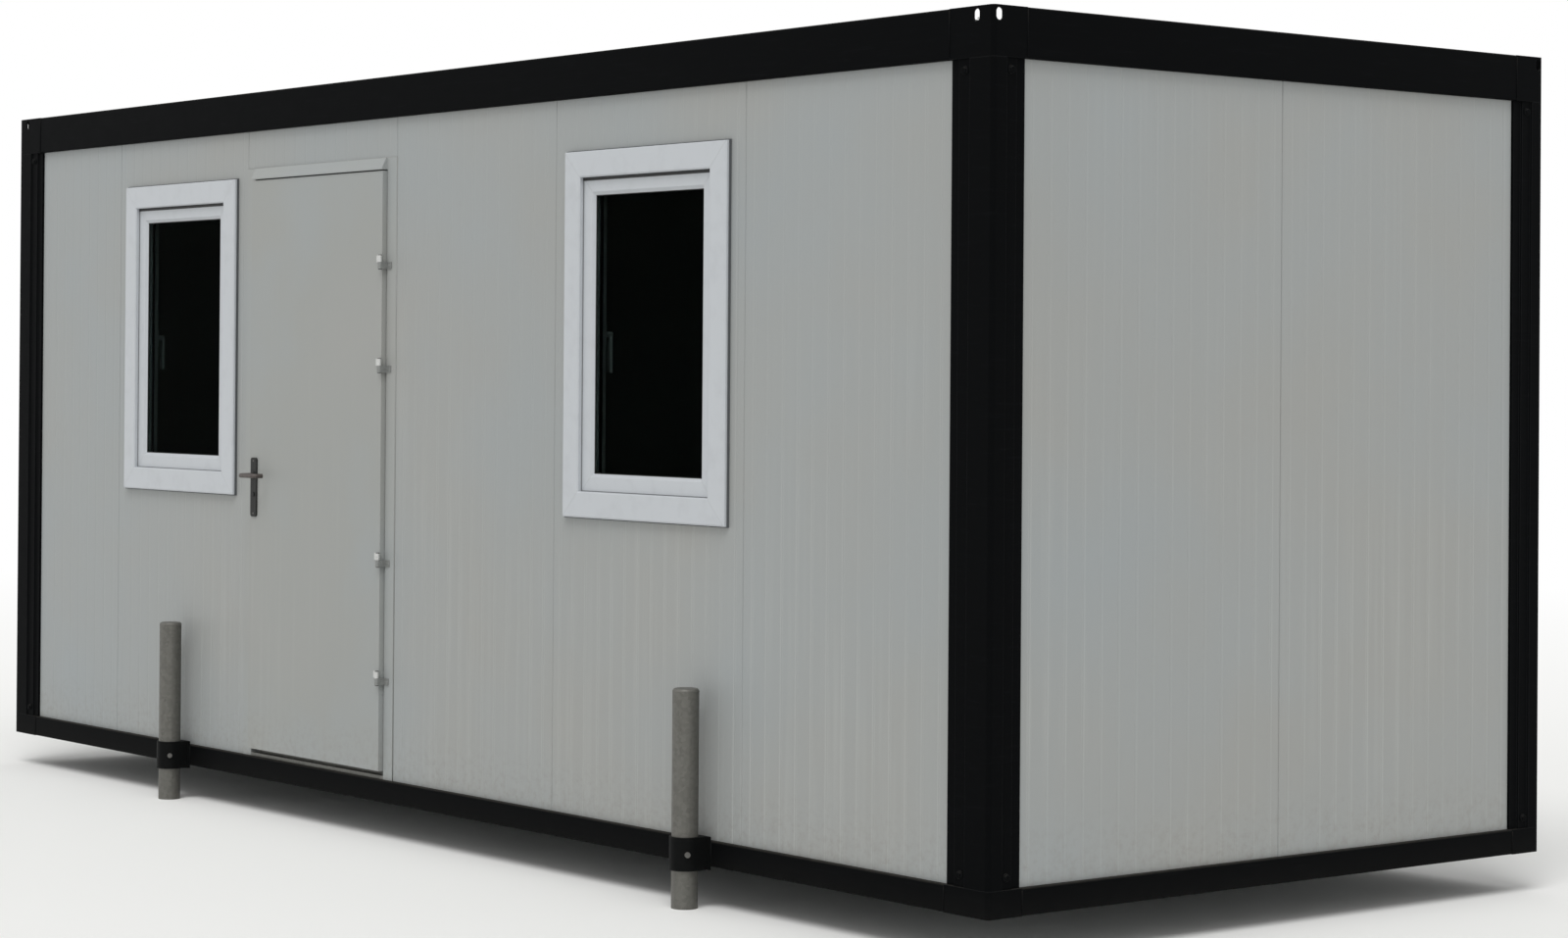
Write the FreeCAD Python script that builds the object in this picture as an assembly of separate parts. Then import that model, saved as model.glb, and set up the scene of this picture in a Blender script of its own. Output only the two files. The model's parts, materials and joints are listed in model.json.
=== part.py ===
import FreeCAD, Part
import math
import os

from FreeCAD import Vector

# Site office cabin: a flat-pack steel frame with sandwich panel walls, one outward door and two
# windows, standing on four pinned support legs.
# Millimetres, +Z up. X runs along the long walls and the door side faces -Y. The origin is on the
# ground under the middle of the cabin.

# Overall sizes of the steel frame, the usual twenty foot cabin
cabin_length = 6055.0
cabin_width = 2438.0
cabin_height = 2591.0
ground_gap = 130.0  # the legs hold the frame this far off the ground

# Frame sections
base_rail_height = 80.0
base_rail_depth = 84.0
roof_rail_height = 147.0
roof_rail_depth = 84.0
roof_rail_lip = 22.0
roof_ledge_drop = 42.0  # top of the frame down to the shelf that carries the roof sheet
rail_steel = 4.0
post_face_long = 186.0  # width of a corner post seen on a long wall
post_face_short = 133.0  # and seen on an end wall
post_steel = 4.0
post_core_long = 100.0  # the proud middle of the post, measured from the corner
post_core_short = 54.0
post_band_long = 150.0  # outer edge of the flange beside it
post_band_short = 96.0
post_step = 6.0  # how far each flange stands back from the one before
post_step_run = 4.0
post_fold = 14.0  # outside radius at the corner edge
rail_fold = 7.0  # outside radius of the other folds
fitting_plate = 6.0
fitting_pocket = 46.0  # open top of the roof fittings, down to their cover plate
lift_slot_width = 26.0
lift_slot_height = 36.0
lift_slot_drop = 26.0  # from the top of the frame to the middle of a slot
lift_slot_long = 72.0  # from the corner edge to the middle of the slot in the long side
lift_slot_short = 24.0
lift_hole_radius = 22.0
anchor_hole_radius = 14.0

# Wall panels
wall_recess = 20.0  # frame face to wall face
wall_thickness = 60.0
panel_module = 1020.0
panel_joint_gap = 1.0
panel_edge_bevel = 3.0
rib_pitch = 72.0
rib_width = 13.0
rib_depth = 0.8
rib_side_run = 4.0

# Floor, ceiling and roof
floor_board = 22.0
underfloor_steel = 2.0
joist_width = 50.0
joist_height = 50.0
joist_count = 9
ceiling_thickness = 50.0
ceiling_fit = 4.0  # gap round the ceiling inside the roof rails
roof_steel = 1.5
roof_rib_pitch = 260.0
roof_rib_height = 18.0
roof_rib_top = 34.0
roof_rib_foot = 70.0

# Door
door_unit_right = -106.0  # X of the right edge of the door frame
door_unit_width = 1043.0
door_frame_face = 58.0  # of the jambs
door_head_face = 42.0
door_frame_proud = 3.0
door_frame_steel = 3.0
door_head_drop = 142.0  # roof rail down to the top of the door frame
door_sill_height = 12.0  # above the base rail
door_foot_gap = 18.0  # sill to the foot of the leaf
door_leaf_proud = 18.0  # leaf face in front of the frame face
door_leaf_thickness = 45.0
door_gap = 5.0
door_stop_width = 16.0
door_drip_proud = 22.0  # foot of the rain strip over the leaf
door_drip_edge = 4.0
hinge_rises = (332.0, 754.0)  # lower hinges, above the bottom of the leaf
hinge_drops = (697.0, 327.0)  # upper hinges, below the top of the leaf
hinge_radius = 9.0
hinge_knuckle_length = 24.0
hinge_running_gap = 0.5
hinge_pin_radius = 5.0
hinge_pin_clearance = 0.1
hinge_wing_width = 26.0
hinge_wing_steel = 3.0
hinge_stand_off = 1.0  # knuckle surface to the leaf

# Door furniture
handle_height = 1142.0  # above the bottom of the frame, spindle axis
handle_from_edge = 36.0  # leaf edge to spindle
plate_width = 42.0
plate_length = 222.0
plate_thickness = 6.0
plate_above_spindle = 66.0
lever_neck = 66.0  # leaf face to the middle of the grip
lever_radius = 8.5
lever_length = 105.0
lever_bend = 15.0
lever_return = 20.0  # straight end turned back to the door
spindle_radius = 4.5
spindle_clearance = 0.5
rose_clearance = 0.6
cylinder_drop = 72.0
cylinder_radius = 8.5
cylinder_proud = 3.0

# Windows
right_window_centre = 1378.0  # X of its middle; the left one stands beside the door unit
window_panel_margin = 73.5  # panel left beside the window frame
window_width = 865.0
window_height = 1205.0
window_head_drop = 177.0  # roof rail down to the top of the window
window_proud = 20.0  # frame face in front of the wall
window_rim = 12.0  # thickness of the frame's outer rim
window_undercut = 10.0  # how far the rim overhangs the part that touches the wall
window_flange = 28.0  # overlap of the frame on the wall
window_face = 86.0  # width of the outer frame seen from outside
window_lip = 18.0  # thickness of the lip in front of the sash
window_fit = 3.0  # gap between the wall cut-out, frame and sash
window_chamfer = 4.0
sash_face = 59.0  # width of the sash seen from outside
sash_overlap = 12.0  # sash hidden behind the lip
sash_depth = 62.0
bead_slope = 11.0
glass_thickness = 24.0
glass_bite = 14.0
glass_set_back = 12.0  # sash face to glass
handle_rose = (30.0, 68.0, 9.0)
window_lever = (18.0, 125.0, 10.0)
window_lever_neck = 30.0

# Support legs
leg_places = (-1587.0, 1700.0)  # X of the legs
leg_radius = 42.0
leg_wall = 4.0
leg_top = 556.0  # above the bottom of the frame
leg_cap_round = 9.0
clamp_wall = 7.0
clamp_clearance = 0.3
clamp_height = 104.0
clamp_rise = 14.0  # clamp top above the top of the base rail
clamp_ear = 10.0
clamp_plate = 8.0
pin_radius = 6.0
pin_head_radius = 9.0
pin_head_thickness = 7.0
pin_turn = 62.0  # degrees from straight out of the wall to the pin
pin_clearance = 0.3

# Places worked out from the sizes above
half_length = cabin_length / 2
half_width = cabin_width / 2
frame_bottom = ground_gap
frame_top = ground_gap + cabin_height
base_rail_top = frame_bottom + base_rail_height
roof_rail_bottom = frame_top - roof_rail_height
wall_face = half_width - wall_recess  # distance of the long wall faces from the middle
end_wall_face = half_length - wall_recess
long_wall_half = half_length - post_face_long
end_wall_half = half_width - post_face_short
door_unit_left = door_unit_right - door_unit_width
door_head_top = roof_rail_bottom - door_head_drop
door_head_bottom = door_head_top - door_head_face
door_sill_top = base_rail_top + door_sill_height
door_clear_left = door_unit_left + door_frame_face
door_clear_right = door_unit_right - door_frame_face
leaf_left = door_clear_left + door_gap
leaf_right = door_clear_right - door_gap
leaf_bottom = door_sill_top + door_foot_gap
leaf_top = door_head_bottom - door_gap
door_face = -(wall_face + door_frame_proud)  # Y of the outer face of the door frame
leaf_face = door_face - door_leaf_proud
hinge_axis_x = (leaf_right + door_clear_right) / 2
hinge_axis_y = leaf_face - hinge_radius - hinge_stand_off
hinge_levels = [leaf_bottom + rise for rise in hinge_rises] + [leaf_top - drop for drop in hinge_drops]
spindle_x = leaf_left + handle_from_edge
spindle_z = frame_bottom + handle_height
window_panel_half = window_width / 2 + window_panel_margin
window_centres = (door_unit_left - window_panel_half, right_window_centre)
window_bottom = roof_rail_bottom - window_head_drop - window_height
leg_axis_y = half_width + clamp_plate + clamp_wall + clamp_clearance + leg_radius

nodes = {}


def box(x0, x1, y0, y1, z0, z1):
    """A block between two corners."""
    return Part.makeBox(x1 - x0, y1 - y0, z1 - z0, Vector(x0, y0, z0))


def prism(points, direction):
    """The closed outline through the points, extruded along a direction."""
    outline = Part.makePolygon([Vector(*p) for p in points] + [Vector(*points[0])])
    return Part.Face(outline).extrude(Vector(*direction))


def folded(points, radii, direction):
    """The closed outline with the given radius at each corner, extruded along a direction."""
    corners = [Vector(*p) for p in points]
    count = len(corners)
    arcs = []
    for i in range(count):
        here = corners[i]
        back = (corners[i - 1] - here).normalize()
        ahead = (corners[(i + 1) % count] - here).normalize()
        if radii[i] == 0:
            arcs.append((here, here, here))
            continue
        half_angle = back.getAngle(ahead) / 2
        run = radii[i] / math.tan(half_angle)
        inwards = (back + ahead).normalize()
        apex = here + inwards * (radii[i] / math.sin(half_angle) - radii[i])
        arcs.append((here + back * run, apex, here + ahead * run))
    edges = []
    for i in range(count):
        start, apex, end = arcs[i]
        if radii[i] > 0:
            edges.append(Part.Arc(start, apex, end).toShape())
        edges.append(Part.makeLine(end, arcs[(i + 1) % count][0]))
    return Part.Face(Part.Wire(edges)).extrude(Vector(*direction))


def bar(start, direction, radius, length):
    """A round bar from a start point."""
    return Part.makeCylinder(radius, length, Vector(*start), Vector(*direction))


def mirrored(shape, x=False, y=False):
    """The shape mirrored to the other end, the other side, or both."""
    result = shape
    if x:
        result = result.mirror(Vector(0, 0, 0), Vector(1, 0, 0))
    if y:
        result = result.mirror(Vector(0, 0, 0), Vector(0, 1, 0))
    return result


def four_corners(shape):
    """A front right piece repeated at the four corners."""
    return [mirrored(shape, x, y) for x in (False, True) for y in (False, True)]


def inset_outline(points, distance):
    """The same closed outline moved inwards by a distance, with mitred corners."""
    count = len(points)
    area = sum(
        points[i][0] * points[(i + 1) % count][1] - points[(i + 1) % count][0] * points[i][1]
        for i in range(count)
    )
    side = 1.0 if area > 0 else -1.0
    result = []
    for i in range(count):
        ax, ay = points[i - 1]
        bx, by = points[i]
        cx, cy = points[(i + 1) % count]
        first = math.hypot(bx - ax, by - ay)
        second = math.hypot(cx - bx, cy - by)
        nx, ny = -side * (by - ay) / first, side * (bx - ax) / first
        mx, my = -side * (cy - by) / second, side * (cx - bx) / second
        share = distance / (1.0 + nx * mx + ny * my)
        result.append((bx + (nx + mx) * share, by + (ny + my) * share))
    return result


def mitred_frame(section, centre_x, centre_z, width, height, wall_y):
    """A rectangular frame of one section with mitred corners.

    The section is a list of (inset from the outer edge, depth behind the wall face).
    """
    corners = ((-1, -1), (1, -1), (1, 1), (-1, 1))

    def place(corner, point):
        sx, sz = corner
        inset, depth = point
        x = centre_x + sx * (width / 2 - inset)
        z = centre_z + sz * (height / 2 - inset)
        return Vector(x, wall_y + depth, z)

    faces = []
    for k in range(4):
        here, after = corners[k], corners[(k + 1) % 4]
        for i in range(len(section)):
            a, b = section[i], section[(i + 1) % len(section)]
            loop = [place(here, a), place(after, a), place(after, b), place(here, b)]
            faces.append(Part.Face(Part.makePolygon(loop + loop[:1])))
    solid = Part.makeSolid(Part.makeShell(faces))
    if solid.Volume < 0:
        solid.reverse()
    return solid


# Frame


def channel(depth_low, depth_high, height, length, low):
    """Cold-formed channel along X: web on y = 0, a flange inwards at the foot and one at the top."""
    steel = rail_steel
    inside = rail_fold - steel
    outline = [
        (depth_low, 0, 0),
        (depth_low, steel, 0),
        (steel, steel, inside),
        (steel, height - steel, inside),
        (depth_high, height - steel, 0),
        (depth_high, height, 0),
        (0, height, rail_fold),
        (0, 0, rail_fold),
    ]
    points = [(-length / 2, y, low + z) for y, z, _ in outline]
    return folded(points, [r for _, _, r in outline], (length, 0, 0))


def base_rail(length):
    """Channel with its open side inwards."""
    return channel(base_rail_depth, base_rail_depth, base_rail_height, length, frame_bottom)


def roof_rail(length):
    """Gutter section: a channel with a narrow top lip and a shelf inside for the roof sheet."""
    rail = channel(roof_rail_depth, roof_rail_lip, roof_rail_height, length, roof_rail_bottom)
    shelf = frame_top - roof_ledge_drop
    ledge = box(-length / 2, length / 2, rail_steel, roof_rail_depth, shelf - rail_steel, shelf)
    return rail.fuse(ledge).removeSplitter()


def frame_rails():
    long_span = 2 * long_wall_half
    end_span = 2 * end_wall_half
    for name, section in (("base", base_rail), ("roof", roof_rail)):
        front = section(long_span)
        front.translate(Vector(0, -half_width, 0))
        end = section(end_span)
        end.rotate(Vector(0, 0, 0), Vector(0, 0, 1), 90)
        end.translate(Vector(half_length, 0, 0))
        nodes[name + "_rail_front"] = front
        nodes[name + "_rail_back"] = mirrored(front, y=True)
        nodes[name + "_rail_right"] = end
        nodes[name + "_rail_left"] = mirrored(end, x=True)


def post_outline():
    """Section of the front right post: distances in from the corner along X and Y, and fold radius."""
    inner = wall_recess + wall_thickness
    band, rim = post_step, 2 * post_step
    run = post_step_run
    return [
        (post_face_long, inner, 0),
        (post_face_long, rim, 0),
        (post_band_long + run, rim, 0),
        (post_band_long, band, 0),
        (post_core_long + run, band, 0),
        (post_core_long, 0, 0),
        (0, 0, post_fold),
        (0, post_core_short, 0),
        (band, post_core_short + run, 0),
        (band, post_band_short, 0),
        (rim, post_band_short + run, 0),
        (rim, post_face_short, 0),
        (inner, post_face_short, 0),
        (inner, inner, 0),
    ]


def corner_posts():
    """Cold-formed hollow posts, rounded at the corner and stepped back twice beside the walls."""
    section = post_outline()
    outer = [(u, v) for u, v, _ in section]
    inner = inset_outline(outer, post_steel)
    low = base_rail_top
    height = roof_rail_bottom - low
    shells = []
    for outline, thinner in ((outer, 0), (inner, post_steel)):
        points = [(half_length - u, -half_width + v, low) for u, v in outline]
        radii = [max(r - thinner, 0) for _, _, r in section]
        shells.append(folded(points, radii, (0, 0, height)))
    post = shells[0].cut(shells[1])
    names = ("front_right", "back_right", "front_left", "back_left")
    for name, shape in zip(names, four_corners(post)):
        nodes["corner_post_" + name] = shape


def corner_block(low, high, shrink):
    """Upright block with the outline of a corner fitting, made smaller all round."""
    x0, x1 = half_length - post_face_long + shrink, half_length - shrink
    y0, y1 = -half_width + shrink, -half_width + post_face_short - shrink
    points = [(x0, y0, low), (x1, y0, low), (x1, y1, low), (x0, y1, low)]
    return folded(points, [0, post_fold - shrink, 0, 0], (0, 0, high - low))


def lift_slot(inset):
    """Cutter for a lifting slot in a wall on y = 0, its middle inset along -X from x = 0."""
    half = lift_slot_width / 2
    low = frame_top - lift_slot_drop - lift_slot_height / 2
    points = [(-inset - half, 0), (-inset + half, 0), (-inset + half, 1), (-inset - half, 1)]
    points = [(x, -fitting_plate, low + z * lift_slot_height) for x, z in points]
    return folded(points, [half * 0.9] * 4, (0, 3 * fitting_plate, 0))


def corner_fittings():
    """Roof fittings with an open pocket, a lifting slot in each outer side and a stud hole in the
    cover plate; base fittings with an anchor hole."""
    pocket_floor = frame_top - fitting_pocket
    plate = fitting_plate
    top = corner_block(roof_rail_bottom, frame_top, 0)
    top = top.cut(corner_block(roof_rail_bottom + plate, pocket_floor - plate, plate))
    top = top.cut(corner_block(pocket_floor, frame_top + plate, plate))
    inner = box(
        half_length - post_face_long - plate,
        half_length - plate,
        -half_width + plate,
        -half_width + post_face_short + plate,
        pocket_floor,
        frame_top + plate,
    )
    top = top.cut(inner)
    long_slot = lift_slot(lift_slot_long)
    long_slot.translate(Vector(half_length, -half_width, 0))
    short_slot = lift_slot(-lift_slot_short)
    short_slot.rotate(Vector(0, 0, 0), Vector(0, 0, 1), 90)
    short_slot.translate(Vector(half_length, -half_width, 0))
    hole_x = half_length - post_face_long / 2
    hole_y = -half_width + post_face_short / 2
    stud_hole = bar((hole_x, hole_y, pocket_floor - 2 * plate), (0, 0, 1), lift_hole_radius, 3 * plate)
    top = top.cut(long_slot).cut(short_slot).cut(stud_hole)
    nodes["roof_corner_fittings"] = Part.makeCompound(four_corners(top))
    base = corner_block(frame_bottom, base_rail_top, 0)
    base = base.cut(corner_block(frame_bottom + plate, base_rail_top - plate, plate))
    base = base.cut(bar((hole_x, hole_y, frame_bottom - plate), (0, 0, 1), anchor_hole_radius, 3 * plate))
    nodes["base_corner_fittings"] = Part.makeCompound(four_corners(base))


# Floor, ceiling and roof


def floor():
    inner_x = half_length - base_rail_depth
    inner_y = half_width - base_rail_depth
    joist_low = frame_bottom + rail_steel
    joist_top = joist_low + joist_height
    spacing = 2 * long_wall_half / (joist_count + 1)
    joists = []
    for i in range(joist_count):
        x = -long_wall_half + spacing * (i + 1)
        reach = half_width - rail_fold
        joists.append(box(x - joist_width / 2, x + joist_width / 2, -reach, reach, joist_low, joist_top))
    nodes["floor_joists"] = Part.makeCompound(joists)
    sheet_top = joist_top + underfloor_steel
    sheet = box(-inner_x, inner_x, -inner_y, inner_y, joist_top, sheet_top)
    deck = box(-inner_x, inner_x, -inner_y, inner_y, sheet_top, sheet_top + floor_board)
    nodes["underfloor_sheet"] = notched(sheet)
    nodes["floor_deck"] = notched(deck)


def notched(slab):
    """The slab with its corners cut out round the corner fittings."""
    low, high = slab.BoundBox.ZMin - 1, slab.BoundBox.ZMax + 1
    for corner in four_corners(box(long_wall_half, half_length, -half_width, -end_wall_half, low, high)):
        slab = slab.cut(corner)
    return slab


def roof_profile(half_span):
    """Upper line of the trapezoidal roof sheet, from end to end, as (x, height)."""
    count = int((2 * half_span - roof_rib_foot) // roof_rib_pitch)
    line = [(-half_span, 0.0)]
    for i in range(count + 1):
        x = (i - count / 2) * roof_rib_pitch
        foot, crown = roof_rib_foot / 2, roof_rib_top / 2
        high = roof_rib_height
        line += [(x - foot, 0.0), (x - crown, high), (x + crown, high), (x + foot, 0.0)]
    line.append((half_span, 0.0))
    return line


def roof():
    """Trapezoidal sheet on the shelves of the roof rails, and the ceiling on their lower flanges."""
    shelf = frame_top - roof_ledge_drop
    half_span = half_length - rail_steel - roof_rail_lip
    reach = half_width - rail_steel - roof_rail_lip
    upper = [(x, h + roof_steel) for x, h in roof_profile(half_span)]
    lower = [(x, h) for x, h in reversed(roof_profile(half_span))]
    points = [(x, -reach, shelf + h) for x, h in upper + lower]
    sheet = prism(points, (0, 2 * reach, 0))
    nodes["roof_sheet"] = notched(sheet)
    low = roof_rail_bottom + rail_steel
    ceiling_x = half_length - rail_steel - ceiling_fit
    ceiling_y = half_width - rail_steel - ceiling_fit
    slab = box(-ceiling_x, ceiling_x, -ceiling_y, ceiling_y, low, low + ceiling_thickness)
    nodes["ceiling"] = notched(slab)


# Walls


def panel(x0, x1, z0, z1):
    """Sandwich panel with an upright micro-ribbed outer face, standing on y = -wall_face."""
    left = x0 + panel_joint_gap / 2
    right = x1 - panel_joint_gap / 2
    face = -wall_face
    edge = panel_edge_bevel
    outline = [(left, face + edge), (left + edge, face)]
    count = int((right - left - rib_pitch) // rib_pitch) + 1
    first = (left + right) / 2 - (count - 1) * rib_pitch / 2
    for i in range(count):
        x = first + i * rib_pitch
        foot, bed = rib_width / 2, rib_width / 2 - rib_side_run
        deep = face + rib_depth
        outline += [(x - foot, face), (x - bed, deep), (x + bed, deep), (x + foot, face)]
    outline += [(right - edge, face), (right, face + edge)]
    back = face + wall_thickness
    outline += [(right, back - edge), (right - edge, back), (left + edge, back), (left, back - edge)]
    return prism([(x, y, z0) for x, y in outline], (0, 0, z1 - z0))


def window_hole(centre_x):
    """Block that cuts a window opening through a wall."""
    half = window_width / 2 - window_flange + window_fit
    low = window_bottom + window_flange - window_fit
    high = window_bottom + window_height - window_flange + window_fit
    outside, inside = -half_width, -wall_face + 2 * wall_thickness
    return box(centre_x - half, centre_x + half, outside, inside, low, high)


def front_wall():
    """Panels between the posts, either side of the door unit and over it."""
    low, high = base_rail_top, roof_rail_bottom
    left_x, right_x = window_centres
    left_joint, right_joint = left_x - window_panel_half, right_x - window_panel_half
    last_joint = right_x + window_panel_half
    plain = [
        panel(-long_wall_half, left_joint, low, high),
        panel(door_unit_left, door_unit_right, door_head_top, high),
        panel(door_unit_right, right_joint, low, high),
        panel(last_joint, long_wall_half, low, high),
    ]
    nodes["front_wall_panels"] = Part.makeCompound(plain)
    left_panel = panel(left_joint, door_unit_left, low, high)
    nodes["window_panel_left"] = left_panel.cut(window_hole(left_x))
    right_panel = panel(right_joint, last_joint, low, high)
    nodes["window_panel_right"] = right_panel.cut(window_hole(right_x))


def plain_walls():
    low, high = base_rail_top, roof_rail_bottom
    count = int(2 * long_wall_half // panel_module)
    spare = long_wall_half * 2 - count * panel_module
    joints = [-long_wall_half, -long_wall_half + spare]
    joints += [joints[1] + panel_module * (i + 1) for i in range(count)]
    back = [panel(joints[i], joints[i + 1], low, high) for i in range(len(joints) - 1)]
    nodes["back_wall_panels"] = mirrored(Part.makeCompound(back), y=True)
    end = [panel(-end_wall_half, 0, low, high), panel(0, end_wall_half, low, high)]
    right = Part.makeCompound(end)
    right.translate(Vector(0, wall_face, 0))
    right.rotate(Vector(0, 0, 0), Vector(0, 0, 1), 90)
    right.translate(Vector(end_wall_face, 0, 0))
    nodes["end_wall_right_panels"] = right
    nodes["end_wall_left_panels"] = mirrored(right, x=True)


# Door


def door_frame():
    """Folded steel jambs and head: a face flange on the wall, a lining and a stop for the leaf."""
    back = -wall_face + wall_thickness
    stop = leaf_face + door_leaf_thickness + door_gap / 2
    lining = back + door_frame_steel
    outline = [
        (0, door_face),
        (door_frame_face, door_face),
        (door_frame_face, stop),
        (door_frame_face + door_stop_width, stop),
        (door_frame_face + door_stop_width, lining),
        (0, lining),
    ]
    low, high = base_rail_top, door_head_top
    left = prism([(door_unit_left + u, y, low) for u, y in outline], (0, 0, high - low))
    nodes["door_jamb_left"] = left
    right = prism([(door_unit_right - u, y, low) for u, y in outline], (0, 0, high - low))
    nodes["door_jamb_right"] = right
    head_left = door_clear_left + door_stop_width
    head_right = door_clear_right - door_stop_width
    shorter = door_frame_face - door_head_face
    lintel = [(door_clear_left, y, high - max(u - shorter, 0)) for u, y in outline]
    head = prism(lintel, (door_clear_right - door_clear_left, 0, 0))
    for x0, x1 in ((door_clear_left, head_left), (head_right, door_clear_right)):
        head = head.cut(box(x0, x1, stop, lining, low, high))
    foot_y = door_face - door_drip_proud
    drip = [
        (leaf_left, door_face, door_head_bottom),
        (leaf_left, foot_y, door_head_bottom),
        (leaf_left, foot_y, door_head_bottom + door_drip_edge),
        (leaf_left, door_face - door_drip_edge, high),
        (leaf_left, door_face, high),
    ]
    nodes["door_head"] = head.fuse(prism(drip, (leaf_right - leaf_left, 0, 0))).removeSplitter()
    sill = box(door_clear_left, door_clear_right, door_face, stop, base_rail_top, door_sill_top)
    threshold = leaf_bottom + door_stop_width / 2
    sill = sill.fuse(box(head_left, head_right, stop, back, base_rail_top, threshold))
    nodes["door_sill"] = sill.removeSplitter()


def door_leaf():
    """Steel-faced leaf, proud of its frame, with a bore for the spindle."""
    leaf = box(leaf_left, leaf_right, leaf_face, leaf_face + door_leaf_thickness, leaf_bottom, leaf_top)
    start = (spindle_x, leaf_face - 1, spindle_z)
    leaf = leaf.cut(bar(start, (0, 1, 0), spindle_radius + spindle_clearance, door_leaf_thickness + 2))
    nodes["door_leaf"] = leaf


def door_furniture():
    """Long plates on both faces, a lever each side on one spindle, and the lock cylinder."""
    inside = leaf_face + door_leaf_thickness
    plate_top = spindle_z + plate_above_spindle
    plates = []
    for y0 in (leaf_face - plate_thickness, inside):
        plate = box(
            spindle_x - plate_width / 2,
            spindle_x + plate_width / 2,
            y0,
            y0 + plate_thickness,
            plate_top - plate_length,
            plate_top,
        )
        upright = [e for e in plate.Edges if abs(e.tangentAt(e.FirstParameter).y) > 0.99]
        plate = plate.makeFillet(plate_width / 4, upright)
        bore = lever_radius + rose_clearance
        hole = bar((spindle_x, y0 - 1, spindle_z), (0, 1, 0), bore, plate_thickness + 2)
        plates.append(plate.cut(hole))
    nodes["door_lock_plates"] = Part.makeCompound(plates)
    outer = lever(leaf_face, -1)
    inner = lever(inside, 1)
    rod = bar((spindle_x, leaf_face, spindle_z), (0, 1, 0), spindle_radius, door_leaf_thickness)
    nodes["door_lever"] = outer.fuse(rod).fuse(inner).removeSplitter()
    low = spindle_z - cylinder_drop
    outer_core = bar(
        (spindle_x, leaf_face - plate_thickness, low), (0, -1, 0), cylinder_radius, cylinder_proud
    )
    inner_core = bar((spindle_x, inside + plate_thickness, low), (0, 1, 0), cylinder_radius, cylinder_proud)
    nodes["lock_cylinder"] = Part.makeCompound([outer_core, inner_core])


def lever(face_y, side):
    """Round lever out of a door face: neck, bend, grip along X and its end turned back in."""
    bend = lever_bend
    reach = face_y + side * lever_neck
    bend_y = reach - side * bend
    grip_end = spindle_x + lever_length

    def place(x, y):
        return Vector(x, y, spindle_z)

    slant = bend * (1 - math.sqrt(0.5))
    path = Part.Wire([
        Part.makeLine(place(spindle_x, face_y), place(spindle_x, bend_y)),
        Part.Arc(
            place(spindle_x, bend_y),
            place(spindle_x + slant, reach - side * slant),
            place(spindle_x + bend, reach),
        ).toShape(),
        Part.makeLine(place(spindle_x + bend, reach), place(grip_end - bend, reach)),
        Part.Arc(
            place(grip_end - bend, reach),
            place(grip_end - slant, reach - side * slant),
            place(grip_end, bend_y),
        ).toShape(),
        Part.makeLine(place(grip_end, bend_y), place(grip_end, bend_y - side * lever_return)),
    ])
    ring = Part.Wire([Part.makeCircle(lever_radius, place(spindle_x, face_y), Vector(0, 1, 0))])
    return path.makePipeShell([ring], True, True)


def door_hinges():
    """Four lift-off hinges: the upper knuckle on the leaf, the lower one with the pin on the jamb."""
    leaf_halves, jamb_halves = [], []
    for middle in hinge_levels:
        upper_low = middle + hinge_running_gap / 2
        lower_top = middle - hinge_running_gap / 2
        lower_low = lower_top - hinge_knuckle_length
        axis = (hinge_axis_x, hinge_axis_y)
        upper = bar((*axis, upper_low), (0, 0, 1), hinge_radius, hinge_knuckle_length)
        wing = hinge_wing(-1, upper_low)
        upper = upper.fuse(wing)
        bore = hinge_pin_radius + hinge_pin_clearance
        pin_length = hinge_knuckle_length - hinge_wing_steel
        socket = bar((*axis, upper_low - 1), (0, 0, 1), bore, pin_length + 2)
        leaf_halves.append(upper.cut(socket).removeSplitter())
        lower = bar((*axis, lower_low), (0, 0, 1), hinge_radius, hinge_knuckle_length)
        lower = lower.fuse(hinge_wing(1, lower_low))
        pin = bar((*axis, lower_top), (0, 0, 1), hinge_pin_radius, pin_length)
        jamb_halves.append(lower.fuse(pin).removeSplitter())
    nodes["door_hinge_leaf_halves"] = Part.makeCompound(leaf_halves)
    nodes["door_hinge_jamb_halves"] = Part.makeCompound(jamb_halves)


def hinge_wing(side, low):
    """Wing of a hinge half and its neck to the knuckle: side -1 on the leaf, 1 on the jamb."""
    face = leaf_face if side < 0 else door_face
    top = low + hinge_knuckle_length
    reach = hinge_axis_x + side * (hinge_radius + hinge_wing_width)
    edge = hinge_axis_x + side * hinge_radius * 0.8
    x0, x1 = sorted((reach, edge))
    wing = box(x0, x1, face - hinge_wing_steel, face, low, top)
    x0, x1 = sorted((hinge_axis_x, edge + side * 2))
    return wing.fuse(box(x0, x1, hinge_axis_y, face - hinge_stand_off, low, top))


# Windows


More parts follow.
